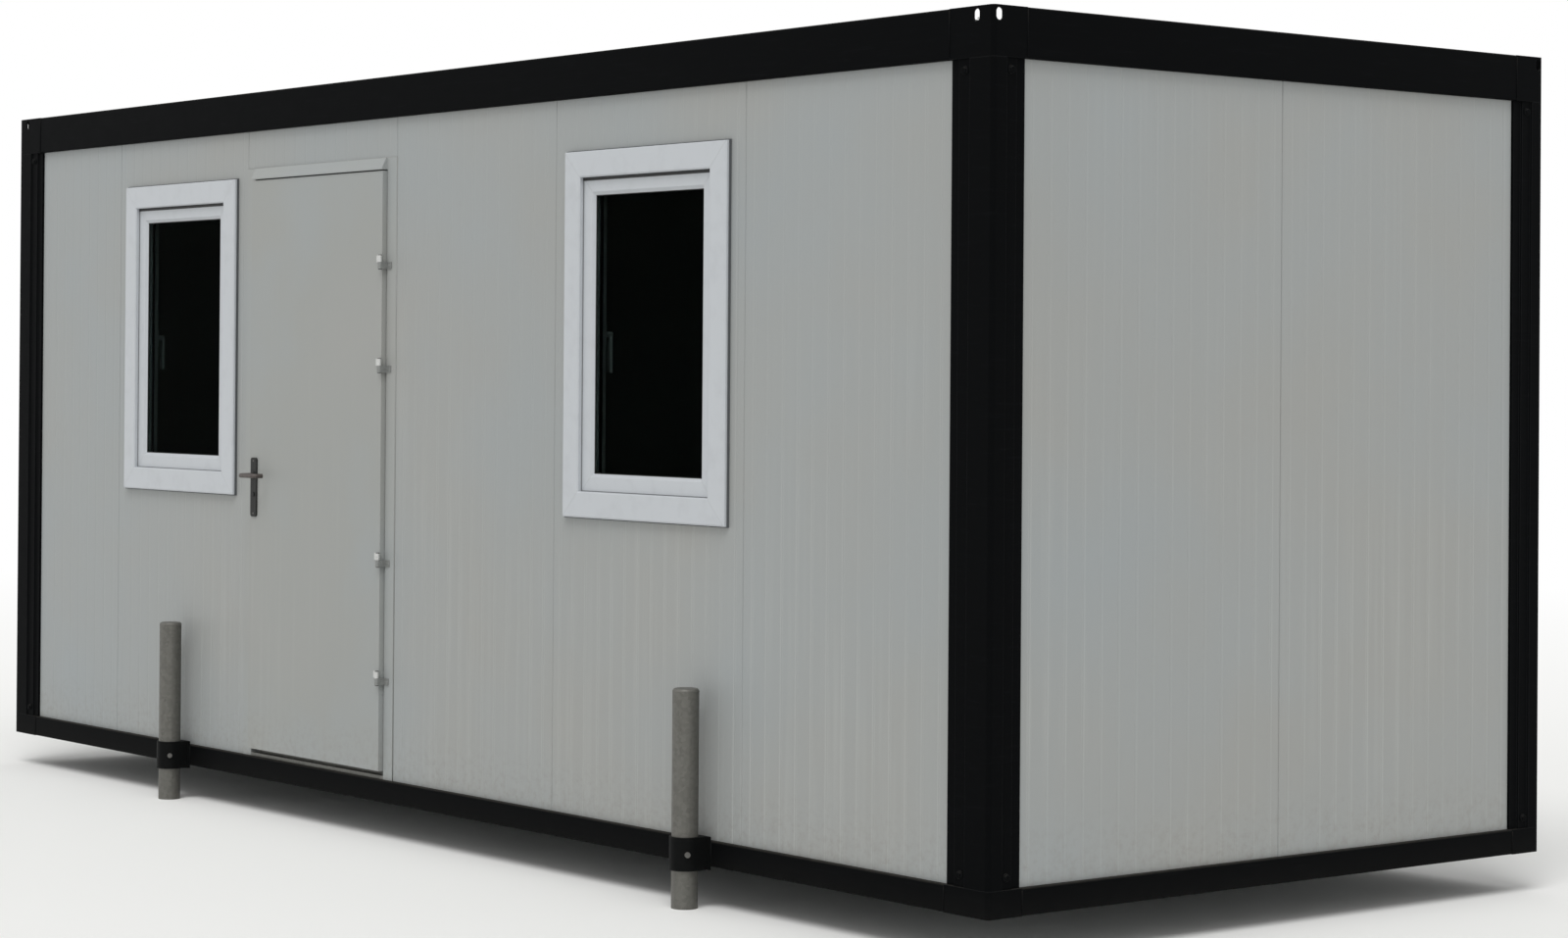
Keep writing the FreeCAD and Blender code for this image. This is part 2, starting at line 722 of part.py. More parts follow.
def windows():
    """Plastic windows: outer frame through the wall, sash behind its lip, sealed glass, handle."""
    front = -window_proud
    body_back = wall_thickness + 2
    lip_back = front + window_lip
    sash_edge = window_face - sash_overlap
    frame_inner = sash_edge - window_fit
    frame_section = [
        (0.0, front + window_rim),
        (0.0, front + window_chamfer),
        (window_chamfer, front),
        (window_face - window_chamfer, front),
        (window_face, front + window_chamfer),
        (window_face, lip_back),
        (frame_inner, lip_back),
        (frame_inner, body_back),
        (window_flange, body_back),
        (window_flange, 0.0),
        (window_undercut, 0.0),
        (window_undercut, front + window_rim),
    ]
    bead = window_face + sash_face
    glass_front = lip_back + glass_set_back
    glass_back = glass_front + glass_thickness
    pocket = bead - glass_bite
    sash_back = lip_back + sash_depth
    sash_section = [
        (sash_edge, lip_back),
        (bead - bead_slope, lip_back),
        (bead, glass_front - window_fit),
        (bead, glass_front),
        (pocket, glass_front),
        (pocket, glass_back),
        (bead, glass_back),
        (bead, glass_back + window_fit),
        (bead - bead_slope, sash_back),
        (sash_edge, sash_back),
    ]
    centre_z = window_bottom + window_height / 2
    face = -wall_face
    handles = []
    for name, centre_x in zip(("left", "right"), window_centres):
        size = (centre_x, centre_z, window_width, window_height, face)
        nodes["window_frame_" + name] = mitred_frame(frame_section, *size)
        nodes["window_sash_" + name] = mitred_frame(sash_section, *size)
        half_w = window_width / 2 - pocket - 1
        half_h = window_height / 2 - pocket - 1
        nodes["window_glass_" + name] = box(
            centre_x - half_w,
            centre_x + half_w,
            face + glass_front,
            face + glass_back,
            centre_z - half_h,
            centre_z + half_h,
        )
        stile = centre_x - window_width / 2 + (sash_edge + bead) / 2
        handles.append(window_handle(stile, face + sash_back, centre_z))
    nodes["window_handles"] = Part.makeCompound(handles)


def window_handle(x, y, z):
    """Handle on the room side of a sash: a small rose with a lever hanging down from its neck."""
    width, height, depth = handle_rose
    rose = box(x - width / 2, x + width / 2, y, y + depth, z - height / 2, z + height / 2)
    neck = bar((x, y + depth, z), (0, 1, 0), window_lever[2], window_lever_neck)
    w, length, thickness = window_lever
    y0 = y + depth + window_lever_neck - thickness
    grip = box(x - w / 2, x + w / 2, y0, y0 + thickness, z - length, z + w / 2)
    return rose.fuse(neck).fuse(grip).removeSplitter()


# Support legs


def support_legs():
    """Round steel tubes held against the base rails by pinned clamps, two on each long side."""
    tubes, clamps, pins = [], [], []
    for x in leg_places:
        tube, clamp, pin = support_leg(x)
        for group, piece in ((tubes, tube), (clamps, clamp), (pins, pin)):
            group += [piece, mirrored(piece, y=True)]
    nodes["support_legs"] = Part.makeCompound(tubes)
    nodes["leg_clamps"] = Part.makeCompound(clamps)
    nodes["leg_pins"] = Part.makeCompound(pins)


def support_leg(x):
    """Tube, clamp and pin of one leg on the front side."""
    y = -leg_axis_y
    top = frame_bottom + leg_top
    tube = bar((x, y, 0), (0, 0, 1), leg_radius, top)
    rim = [e for e in tube.Edges if abs(e.BoundBox.ZMin - top) < 0.1 and e.Length > leg_radius]
    tube = tube.makeFillet(leg_cap_round, rim)
    hollow = bar((x, y, leg_wall), (0, 0, 1), leg_radius - leg_wall, top - 2 * leg_wall - leg_cap_round)
    tube = tube.cut(hollow)
    clamp_top = base_rail_top + clamp_rise
    clamp_low = clamp_top - clamp_height
    pin_z = (clamp_top + clamp_low) / 2
    turn = math.radians(pin_turn)
    outwards = Vector(math.sin(turn), -math.cos(turn), 0)
    sleeve_radius = leg_radius + clamp_clearance + clamp_wall
    outside = Vector(x, y, pin_z) + outwards * sleeve_radius
    depth = clamp_wall + clamp_clearance + leg_wall
    hole = bar(outside + outwards, -outwards, pin_radius + pin_clearance, depth + leg_wall)
    tube = tube.cut(hole)
    sleeve = bar((x, y, clamp_low), (0, 0, 1), sleeve_radius, clamp_height)
    back = -half_width
    web = box(x - sleeve_radius, x + sleeve_radius, y, back, clamp_low, clamp_top)
    ear = sleeve_radius + clamp_ear
    ears = box(x - ear, x + ear, back - clamp_plate, back, clamp_low, clamp_top)
    sleeve = sleeve.fuse(web).fuse(ears)
    socket = leg_radius + clamp_clearance
    sleeve = sleeve.cut(bar((x, y, clamp_low - 1), (0, 0, 1), socket, clamp_height + 2))
    sleeve = sleeve.cut(hole).removeSplitter()
    shank = bar(outside, -outwards, pin_radius, depth)
    head = bar(outside - outwards, outwards, pin_head_radius, pin_head_thickness)
    flat = bar(outside - outwards * 2, outwards, pin_head_radius + pin_clearance, pin_head_thickness)
    sleeve = sleeve.cut(flat)
    pin = shank.fuse(head).removeSplitter()
    return tube, sleeve, pin


def build():
    frame_rails()
    corner_posts()
    corner_fittings()
    floor()
    roof()
    front_wall()
    plain_walls()
    door_frame()
    door_leaf()
    door_furniture()
    door_hinges()
    windows()
    support_legs()
    os.makedirs("parts", exist_ok=True)
    for name, shape in sorted(nodes.items()):
        shape.exportStep("parts/" + name + ".step")


build()
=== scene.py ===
import json
import math

import bmesh
import bpy
from mathutils import Matrix, Vector


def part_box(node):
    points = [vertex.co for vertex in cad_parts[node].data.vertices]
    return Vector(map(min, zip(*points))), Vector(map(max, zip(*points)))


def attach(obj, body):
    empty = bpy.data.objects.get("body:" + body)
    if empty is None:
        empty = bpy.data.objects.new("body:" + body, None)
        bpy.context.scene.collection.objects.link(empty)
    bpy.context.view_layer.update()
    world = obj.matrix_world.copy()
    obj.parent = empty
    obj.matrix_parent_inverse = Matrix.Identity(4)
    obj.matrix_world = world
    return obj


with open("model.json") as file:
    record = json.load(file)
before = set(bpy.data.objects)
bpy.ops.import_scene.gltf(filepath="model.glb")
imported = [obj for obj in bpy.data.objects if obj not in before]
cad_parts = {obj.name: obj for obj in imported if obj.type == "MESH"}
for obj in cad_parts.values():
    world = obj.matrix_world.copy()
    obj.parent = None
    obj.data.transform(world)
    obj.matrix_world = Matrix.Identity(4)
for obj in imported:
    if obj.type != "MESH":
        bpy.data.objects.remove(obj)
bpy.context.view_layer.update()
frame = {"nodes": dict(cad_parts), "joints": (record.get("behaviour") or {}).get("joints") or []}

nodes = frame["nodes"]
print("cabin loaded:", len(nodes), "nodes")

mm = 0.001


# Colours and materials

def toLinear(hexColour):
    parts = [int(hexColour[i:i + 2], 16) / 255 for i in (1, 3, 5)]
    return [c / 12.92 if c <= 0.04045 else ((c + 0.055) / 1.055) ** 2.4 for c in parts] + [1.0]


def addNode(owner, kind, settings=None, links=None):
    # owner is a material or the world
    node = owner.node_tree.nodes.new(kind)
    for name, value in (settings or {}).items():
        if isinstance(name, int) or name in node.inputs:
            node.inputs[name].default_value = value
        else:
            setattr(node, name, value)
    for name, source in (links or {}).items():
        owner.node_tree.links.new(source, node.inputs[name])
    return node


def newMaterial(name, colour, roughness, metallic=0.0):
    material = bpy.data.materials.new(name)
    material.use_nodes = True
    shader = material.node_tree.nodes["Principled BSDF"]
    shader.inputs["Base Color"].default_value = toLinear(colour)
    shader.inputs["Roughness"].default_value = roughness
    shader.inputs["Metallic"].default_value = metallic
    return material, shader, addNode(material, "ShaderNodeTexCoord")


def link(owner, source, target):
    owner.node_tree.links.new(source, target)


# Black polyester powder coat on cold-formed steel: near black and satin, so edges catch only a thin
# light line, and a painted highlight runs along the folds; fine orange peel, scuffs worn a shade greyer,
# and road dust on ledges and low down
frameCoatLook = {
    "colour": "#0B0C0D",
    "worn": "#17181A",
    "dust": "#55524C",
    # colour of the painted highlight along the rounded folds
    "edge": "#262728",
    "edgeWidth": 3 * mm,  # how far the folds are rounded
    "sheen": 0.03,
    "ior": 1.3,  # under the usual 1.5, so that it stays black at a slant too
    "orangePeel": 5 * mm,
    "patch": 350 * mm,
    "scuff": (9 * mm, 130 * mm),  # height and length of a rub mark
    "dustGrain": 40 * mm,
    "dustHeights": (210 * mm, 125 * mm),  # from none to all of the low dust
    "lowDust": 0.07,
    "ledgeDust": 0.5,
}


def frameCoat():
    look = frameCoatLook
    material, shader, place = newMaterial("powderCoatBlack", look["colour"], 0.42)
    shader.inputs["Specular IOR Level"].default_value = look["sheen"]
    shader.inputs["IOR"].default_value = look["ior"]
    patches = addNode(material, "ShaderNodeTexNoise", {"Scale": 1 / look["patch"], "Detail": 5.0},
                      {"Vector": place.outputs["Object"]})
    tall, long = look["scuff"]
    stretch = addNode(material, "ShaderNodeMapping", {"Scale": (1 / long, 1 / long, 1 / tall)},
                      {"Vector": place.outputs["Object"]})
    rubs = addNode(material, "ShaderNodeTexNoise", {"Scale": 1.0, "Detail": 6.0, "Roughness": 0.7},
                   {"Vector": stretch.outputs["Vector"]})
    rubMask = addNode(material, "ShaderNodeMapRange", {"From Min": 0.56, "From Max": 0.78},
                      {"Value": rubs.outputs["Fac"]})
    wear = addNode(material, "ShaderNodeMath", {"operation": "MULTIPLY"},
                   {0: patches.outputs["Fac"], 1: rubMask.outputs["Result"]})
    tone = addNode(material, "ShaderNodeMix",
                   {"data_type": "RGBA", 6: toLinear(look["colour"]), 7: toLinear(look["worn"])},
                   {0: wear.outputs["Value"]})
    surface = addNode(material, "ShaderNodeNewGeometry")
    facing = addNode(material, "ShaderNodeSeparateXYZ", links={0: surface.outputs["Normal"]})
    ledges = addNode(material, "ShaderNodeMapRange",
                     {"From Min": 0.35, "From Max": 1.0, "To Max": look["ledgeDust"]},
                     {"Value": facing.outputs["Z"]})
    spot = addNode(material, "ShaderNodeSeparateXYZ", links={0: place.outputs["Object"]})
    dustFrom, dustTo = look["dustHeights"]
    lowDown = addNode(material, "ShaderNodeMapRange",
                      {"From Min": dustFrom, "From Max": dustTo, "To Max": look["lowDust"]},
                      {"Value": spot.outputs["Z"]})
    where = addNode(material, "ShaderNodeMath", {"operation": "MAXIMUM"},
                    {0: ledges.outputs["Result"], 1: lowDown.outputs["Result"]})
    grain = addNode(material, "ShaderNodeTexNoise",
                    {"Scale": 1 / look["dustGrain"], "Detail": 8.0, "Roughness": 0.7},
                    {"Vector": place.outputs["Object"]})
    dust = addNode(material, "ShaderNodeMath", {"operation": "MULTIPLY"},
                   {0: where.outputs["Value"], 1: grain.outputs["Fac"]})
    dusty = addNode(material, "ShaderNodeMix", {"data_type": "RGBA", 7: toLinear(look["dust"])},
                    {0: dust.outputs["Value"], 6: tone.outputs[2]})
    # where the rounded-off surface turns away from the flat one, the coat is painted a little lighter: a
    # painted highlight along the folds
    rounded = addNode(material, "ShaderNodeBevel", {"Radius": look["edgeWidth"]})
    turn = addNode(material, "ShaderNodeVectorMath", {"operation": "DOT_PRODUCT"},
                   {0: rounded.outputs["Normal"], 1: surface.outputs["Normal"]})
    edgeHighlightMask = addNode(material, "ShaderNodeMapRange", {"From Min": 0.995, "From Max": 0.9, "To Max": 0.8},
                     {"Value": turn.outputs["Value"]})
    edgeHighlighted = addNode(material, "ShaderNodeMix", {"data_type": "RGBA", 7: toLinear(look["edge"])},
                    {0: edgeHighlightMask.outputs["Result"], 6: dusty.outputs[2]})
    link(material, edgeHighlighted.outputs[2], shader.inputs["Base Color"])
    sheen = addNode(material, "ShaderNodeMapRange", {"To Min": 0.34, "To Max": 0.56},
                    {"Value": grain.outputs["Fac"]})
    link(material, sheen.outputs["Result"], shader.inputs["Roughness"])
    peel = addNode(material, "ShaderNodeTexNoise", {"Scale": 1 / look["orangePeel"], "Detail": 2.0},
                   {"Vector": place.outputs["Object"]})
    bump = addNode(material, "ShaderNodeBump", {"Strength": 0.12, "Distance": 0.4 * mm},
                   {"Height": peel.outputs["Fac"], "Normal": rounded.outputs["Normal"]})
    link(material, bump.outputs["Normal"], shader.inputs["Normal"])
    return material


# Coil-coated steel skin of a sandwich panel: an even light grey polyester coat that dulls in slow
# clouds, with a painted highlight down the sides of its ribs, pale rain runs and a little splash near the
# ground
wallCoatLook = {
    "colour": "#9DA09F",
    "cool": "#9CA1A2",
    "warm": "#9E9F9C",
    # pale tone of the rain runs, and of the painted highlight on the rib sides
    "washAndHighlight": "#B6B8B5",
    "ribHighlightStrength": 0.28,  # strength of the painted highlight on the sides of the ribs
    "ribLean": (0.19, 0.08),  # product of a rib side's normal in X and Y, and how far it may be off
    "linesAlong": (-900 * mm, 2100 * mm),  # the painted rib highlight grows stronger from the first X to the second
    "linesHeight": (2100 * mm, 900 * mm),  # and from the first height down to the second
    "splash": "#827E75",
    "splashHeights": (430 * mm, 200 * mm),  # from none to all of the splash
    "cloud": 900 * mm,
    "run": (30 * mm, 1100 * mm),  # width and length of a washed line
    "worn": 800 * mm,  # size of the areas where they show
    "specks": 26 * mm,
    "wave": 260 * mm,  # length of the slow waves in the sheet
}


def wallCoat(name, colour, ripple, lines):
    look = wallCoatLook
    material, shader, place = newMaterial(name, colour, 0.4)
    shader.inputs["Specular IOR Level"].default_value = 0.3
    clouds = addNode(material, "ShaderNodeTexNoise", {"Scale": 1 / look["cloud"], "Detail": 3.0},
                     {"Vector": place.outputs["Object"]})
    hue = addNode(material, "ShaderNodeValToRGB", links={"Fac": clouds.outputs["Fac"]})
    ramp = hue.color_ramp
    ramp.elements[0].position, ramp.elements[1].position = 0.3, 0.7
    ramp.elements[0].color, ramp.elements[1].color = toLinear(look["cool"]), toLinear(look["warm"])
    ramp.elements.new(0.5).color = toLinear(colour)
    width, length = look["run"]
    stretch = addNode(material, "ShaderNodeMapping", {"Scale": (1 / width, 1 / width, 1 / length)},
                      {"Vector": place.outputs["Object"]})
    runs = addNode(material, "ShaderNodeTexNoise", {"Scale": 1.0, "Detail": 3.0, "Roughness": 0.5},
                   {"Vector": stretch.outputs["Vector"]})
    runMask = addNode(material, "ShaderNodeMapRange", {"From Min": 0.5, "From Max": 0.72, "To Max": lines},
                      {"Value": runs.outputs["Fac"]})
    areas = addNode(material, "ShaderNodeTexNoise", {"Scale": 1 / look["worn"], "Detail": 2.0},
                    {"Vector": place.outputs["Object"]})
    spot = addNode(material, "ShaderNodeSeparateXYZ", links={0: place.outputs["Object"]})
    faintFrom, fullFrom = look["linesHeight"]
    lower = addNode(material, "ShaderNodeMapRange",
                    {"From Min": faintFrom, "From Max": fullFrom, "To Min": 0.35},
                    {"Value": spot.outputs["Z"]})
    areaMask = addNode(material, "ShaderNodeMapRange", {"From Min": 0.42, "From Max": 0.66},
                       {"Value": areas.outputs["Fac"]})
    share = addNode(material, "ShaderNodeMath", {"operation": "MULTIPLY"},
                    {0: lower.outputs["Result"], 1: areaMask.outputs["Result"]})
    washed = addNode(material, "ShaderNodeMath", {"operation": "MULTIPLY"},
                     {0: share.outputs["Value"], 1: runMask.outputs["Result"]})
    # the sides of the ribs are the only faces that lean a little off the wall's own plane; they get a
    # painted highlight, stronger towards +X and low down
    surface = addNode(material, "ShaderNodeNewGeometry")
    facing = addNode(material, "ShaderNodeSeparateXYZ", links={0: surface.outputs["True Normal"]})
    lean = addNode(material, "ShaderNodeMath", {"operation": "MULTIPLY"},
                   {0: facing.outputs["X"], 1: facing.outputs["Y"]})
    lean = addNode(material, "ShaderNodeMath", {"operation": "ABSOLUTE"}, {0: lean.outputs["Value"]})
    usual, spread = look["ribLean"]
    flank = addNode(material, "ShaderNodeMath", {"operation": "COMPARE", 1: usual, 2: spread},
                    {0: lean.outputs["Value"]})
    faintFrom, fullFrom = look["linesAlong"]
    along = addNode(material, "ShaderNodeMapRange",
                    {"From Min": faintFrom, "From Max": fullFrom, "To Min": 0.15,
                     "To Max": look["ribHighlightStrength"]}, {"Value": spot.outputs["X"]})
    ribs = addNode(material, "ShaderNodeMath", {"operation": "MULTIPLY"},
                   {0: flank.outputs["Value"], 1: along.outputs["Result"]})
    ribs = addNode(material, "ShaderNodeMath", {"operation": "MULTIPLY"},
                   {0: ribs.outputs["Value"], 1: lower.outputs["Result"]})
    patchy = addNode(material, "ShaderNodeMapRange", {"From Min": 0.38, "From Max": 0.6, "To Min": 0.2},
                     {"Value": areas.outputs["Fac"]})
    ribs = addNode(material, "ShaderNodeMath", {"operation": "MULTIPLY"},
                   {0: ribs.outputs["Value"], 1: patchy.outputs["Result"]})
    pale = addNode(material, "ShaderNodeMath", {"operation": "MAXIMUM"},
                   {0: ribs.outputs["Value"], 1: washed.outputs["Value"]})
    # the rain runs and the painted highlight on the rib sides, both in the pale tone
    washedAndHighlighted = addNode(material, "ShaderNodeMix", {"data_type": "RGBA", 7: toLinear(look["washAndHighlight"])},
                      {0: pale.outputs["Value"], 6: hue.outputs["Color"]})
    splashFrom, splashTo = look["splashHeights"]
    lowDown = addNode(material, "ShaderNodeMapRange",
                      {"From Min": splashFrom, "From Max": splashTo, "To Max": 0.5},
                      {"Value": spot.outputs["Z"]})
    specks = addNode(material, "ShaderNodeTexNoise",
                     {"Scale": 1 / look["specks"], "Detail": 9.0, "Roughness": 0.72},
                     {"Vector": place.outputs["Object"]})
    specked = addNode(material, "ShaderNodeMapRange", {"From Min": 0.47, "From Max": 0.72},
                      {"Value": specks.outputs["Fac"]})
    splash = addNode(material, "ShaderNodeMath", {"operation": "MULTIPLY"},
                     {0: lowDown.outputs["Result"], 1: specked.outputs["Result"]})
    dirty = addNode(material, "ShaderNodeMix", {"data_type": "RGBA", 7: toLinear(look["splash"])},
                    {0: splash.outputs["Value"], 6: washedAndHighlighted.outputs[2]})
    link(material, dirty.outputs[2], shader.inputs["Base Color"])
    gloss = addNode(material, "ShaderNodeMapRange", {"To Min": 0.38, "To Max": 0.54},
                    {"Value": specks.outputs["Fac"]})
    link(material, gloss.outputs["Result"], shader.inputs["Roughness"])
    waves = addNode(material, "ShaderNodeTexNoise", {"Scale": 1 / look["wave"], "Detail": 1.0},
                    {"Vector": place.outputs["Object"]})
    bump = addNode(material, "ShaderNodeBump", {"Strength": 0.3, "Distance": ripple},
                   {"Height": waves.outputs["Fac"]})
    link(material, bump.outputs["Normal"], shader.inputs["Normal"])
    return material


# White uPVC window profile, extruded and welded: smooth, cold white and a touch glossy, with a thin
# grey film where rain leaves it
windowPlasticLook = {
    "colour": "#C1C5C9",
    "film": "#AFB2B6",
    "patch": 60 * mm,
    "edge": 2.5 * mm,  # how far its edges are rounded
    "drawMark": 8 * mm,  # size of the faint marks of the die
}


def windowPlastic():
    look = windowPlasticLook
    material, shader, place = newMaterial("whiteWindowVinyl", look["colour"], 0.34)
    shader.inputs["Specular IOR Level"].default_value = 0.3
    patches = addNode(material, "ShaderNodeTexNoise", {"Scale": 1 / look["patch"], "Detail": 7.0},
                      {"Vector": place.outputs["Object"]})
    film = addNode(material, "ShaderNodeMapRange",
                   {"From Min": 0.5, "From Max": 0.8, "To Max": 0.35}, {"Value": patches.outputs["Fac"]})
    mixed = addNode(material, "ShaderNodeMix",
                    {"data_type": "RGBA", 6: toLinear(look["colour"]), 7: toLinear(look["film"])},
                    {0: film.outputs["Result"]})
    link(material, mixed.outputs[2], shader.inputs["Base Color"])
    gloss = addNode(material, "ShaderNodeMapRange", {"To Min": 0.3, "To Max": 0.46},
                    {"Value": patches.outputs["Fac"]})
    link(material, gloss.outputs["Result"], shader.inputs["Roughness"])
    rounded = addNode(material, "ShaderNodeBevel", {"Radius": look["edge"]})
    draw = addNode(material, "ShaderNodeTexNoise", {"Scale": 1 / look["drawMark"], "Detail": 1.0},
                   {"Vector": place.outputs["Object"]})
    bump = addNode(material, "ShaderNodeBump", {"Strength": 0.05, "Distance": 0.3 * mm},
                   {"Height": draw.outputs["Fac"], "Normal": rounded.outputs["Normal"]})
    link(material, bump.outputs["Normal"], shader.inputs["Normal"])
    return material


# Float glass of a sealed unit in front of an unlit room, so it looks near black: hardly any mirror
# image, a faint green-grey cast and a thin film of dust
glazingLook = {"colour": "#8F9995", "dustFilm": 70 * mm, "ior": 1.025, "mirror": 0.12}


def glazing():
    look = glazingLook
    material, shader, place = newMaterial("floatGlass", look["colour"], 0.02)
    shader.inputs["Transmission Weight"].default_value = 1.0
    shader.inputs["IOR"].default_value = look["ior"]
    shader.inputs["Specular IOR Level"].default_value = look["mirror"]
    film = addNode(material, "ShaderNodeTexNoise", {"Scale": 1 / look["dustFilm"], "Detail": 8.0},
                   {"Vector": place.outputs["Object"]})
    haze = addNode(material, "ShaderNodeMapRange",
                   {"From Min": 0.45, "From Max": 0.9, "To Min": 0.01, "To Max": 0.05},
                   {"Value": film.outputs["Fac"]})
    link(material, haze.outputs["Result"], shader.inputs["Roughness"])
    return material


# Zinc-coated steel: hot-dip on the tubes and joists, bright plating on pins and hinges. Dull grey
# metal with faint crystals a centimetre across and long drawn streaks
zincStreak = (1000 / 60 * mm, 250 * mm)  # width and length


def zincSteel(name, colour, dull, roughness, crystal, metallic=0.75):
    material, shader, place = newMaterial(name, colour, roughness, metallic)
    cells = addNode(material, "ShaderNodeTexVoronoi", {"Scale": 1 / crystal, "Randomness": 1.0},
                    {"Vector": place.outputs["Object"]})
    cell = addNode(material, "ShaderNodeSeparateColor", links={"Color": cells.outputs["Color"]})
    width, length = zincStreak
    stretch = addNode(material, "ShaderNodeMapping", {"Scale": (1 / width, 1 / width, 1 / length)},
                      {"Vector": place.outputs["Object"]})
    streaks = addNode(material, "ShaderNodeTexNoise", {"Scale": 1.0, "Detail": 6.0},
                      {"Vector": stretch.outputs["Vector"]})
    blend = addNode(material, "ShaderNodeMath", {"operation": "MULTIPLY"},
                    {0: cell.outputs["Red"], 1: streaks.outputs["Fac"]})
    tone = addNode(material, "ShaderNodeMix",
                   {"data_type": "RGBA", 6: toLinear(colour), 7: toLinear(dull)},
                   {0: blend.outputs["Value"]})
    link(material, tone.outputs[2], shader.inputs["Base Color"])
    gloss = addNode(material, "ShaderNodeMapRange",
                    {"To Min": roughness - 0.1, "To Max": roughness + 0.15},
                    {"Value": streaks.outputs["Fac"]})
    link(material, gloss.outputs["Result"], shader.inputs["Roughness"])
    bump = addNode(material, "ShaderNodeBump", {"Strength": 0.1, "Distance": 0.4 * mm},
                   {"Height": streaks.outputs["Fac"]})
    link(material, bump.outputs["Normal"], shader.inputs["Normal"])
    return material


# Plain moulded or rolled finishes: one base tone broken by fine mottling
def mottled(name, colour, other, roughness, grain, specular=0.5):
    material, shader, place = newMaterial(name, colour, roughness)
    shader.inputs["Specular IOR Level"].default_value = specular
    texture = addNode(material, "ShaderNodeTexNoise",
                      {"Scale": 1 / grain, "Detail": 6.0, "Roughness": 0.65},
                      {"Vector": place.outputs["Object"]})
    tone = addNode(material, "ShaderNodeMix",
                   {"data_type": "RGBA", 6: toLinear(colour), 7: toLinear(other)},
                   {0: texture.outputs["Fac"]})
    link(material, tone.outputs[2], shader.inputs["Base Color"])
    bump = addNode(material, "ShaderNodeBump", {"Strength": 0.2, "Distance": 0.2 * mm},
                   {"Height": texture.outputs["Fac"]})
    link(material, bump.outputs["Normal"], shader.inputs["Normal"])
    return material


print("materials")
frameSteel = frameCoat()
wallSteel = wallCoat("coilCoatedSkin", wallCoatLook["colour"], 1.2 * mm, 0.22)
doorSteel = wallCoat("doorSkin", "#9C9E9B", 0.6 * mm, 0.12)  # the same coat on a flat skin
doorFrameSteel = wallCoat("doorFrameCoat", "#9EA19F", 0.3 * mm, 0.1)
vinyl = windowPlastic()
glass = glazing()
rubber = mottled("sealRubber", "#101112", "#1C1D1D", 0.62, 3 * mm)  # extruded EPDM, matt black
nylon = mottled("handleNylon", "#1C1D1C", "#2B2C2A", 0.4, 2 * mm, 0.15)  # moulded, fine satin grain
leverZincAndHighlight = zincSteel("leverSteelAndHighlight", "#5A5350", "#3B3735", 0.42, 6 * mm, 0.4)  # lighter and warmer than the plates: partly its metal, partly a painted highlight on its top
tubeZinc = zincSteel("galvanisedTube", "#6C6B66", "#53524D", 0.5, 11 * mm, 0.5)  # dulled outdoors
plateZincAndHighlight = zincSteel("platedSteelAndHighlight", "#CFD0CE", "#B0B1AE", 0.34, 4 * mm, 0.6)  # bright plating; on the hinges' upper halves it is a painted highlight
pinZinc = zincSteel("dullPinSteel", "#6B6A67", "#4C4B48", 0.5, 4 * mm, 0.6)  # worn dull
hingeZincShaded = zincSteel("shadedHingeSteel", "#8C8E8C", "#747674", 0.5, 4 * mm, 0.3)  # near the wall's grey; this duller copy on the hinges' lower halves is painted shade
sillZinc = zincSteel("treadSteel", "#7E7E79", "#64645F", 0.5, 9 * mm, 0.4)  # scuffed by boots
joistZinc = zincSteel("galvanisedSheet", "#A5A8A8", "#84888A", 0.45, 14 * mm)  # clear crystals
clampCoat = mottled("clampPaint", "#0A0B0B", "#141515", 0.5, 12 * mm, 0.05)  # brushed black enamel
gasketGrey = mottled("gasketGrey", "#6E7072", "#7E8082", 0.6, 3 * mm)  # extruded TPE, pale grey
roofCoat = mottled("roofCoilCoat", "#8F9290", "#7C7F7C", 0.45, 120 * mm)  # weathered coil coat
ceilingCoat = mottled("ceilingCoat", "#DCDCD8", "#D2D2CE", 0.5, 200 * mm)  # white coil coat
floorVinyl = mottled("floorVinyl", "#5C5D5B", "#6A6B68", 0.5, 5 * mm)  # flecked safety vinyl
foamAndShade = mottled("foamTapeAndShade", "#4A4D4F", "#5A5D5F", 0.9, 2 * mm)  # expanding foam tape, dull grey; its edge past the rim is painted shade round the frame
doorSealRubber = mottled("greyDoorSeal", "#4E5051", "#5C5E5F", 0.65, 3 * mm)  # extruded EPDM, grey
weldedVinyl = mottled("weldedVinyl", "#B2B5B8", "#BDC0C3", 0.4, 5 * mm)  # trimmed weld, a shade greyer
mastic = mottled("sealantBead", "#8E908D", "#989A97", 0.55, 9 * mm)  # tooled grey sealant

nodeFinish = {
    frameSteel: ("base_rail_", "roof_rail_", "corner_post_", "roof_corner", "base_corner"),
    wallSteel: ("front_wall", "back_wall", "end_wall", "window_panel"),
    doorSteel: ("door_leaf",),
    doorFrameSteel: ("door_jamb", "door_head"),
    vinyl: ("window_frame", "window_sash", "window_handles"),
    glass: ("window_glass",),
    nylon: ("door_lock_plates", "lock_cylinder"),
    leverZincAndHighlight: ("door_lever",),
    # the two halves of each hinge are one steel: the upper painted bright as a highlight, the lower duller
    # as shade
    plateZincAndHighlight: ("door_hinge_leaf_halves",),
    hingeZincShaded: ("door_hinge_jamb_halves",),
    sillZinc: ("door_sill",),
    pinZinc: ("leg_pins",),
    tubeZinc: ("support_legs",),
    clampCoat: ("leg_clamps",),
    joistZinc: ("floor_joists", "underfloor_sheet"),
    roofCoat: ("roof_sheet",),
    ceilingCoat: ("ceiling",),
    floorVinyl: ("floor_deck",),
}
for name, cadNode in nodes.items():
    finish = next(f for f, starts in nodeFinish.items() if name.startswith(starts))
    cadNode.data.materials.clear()
    cadNode.data.materials.append(finish)


# Small tools for the mesh pieces

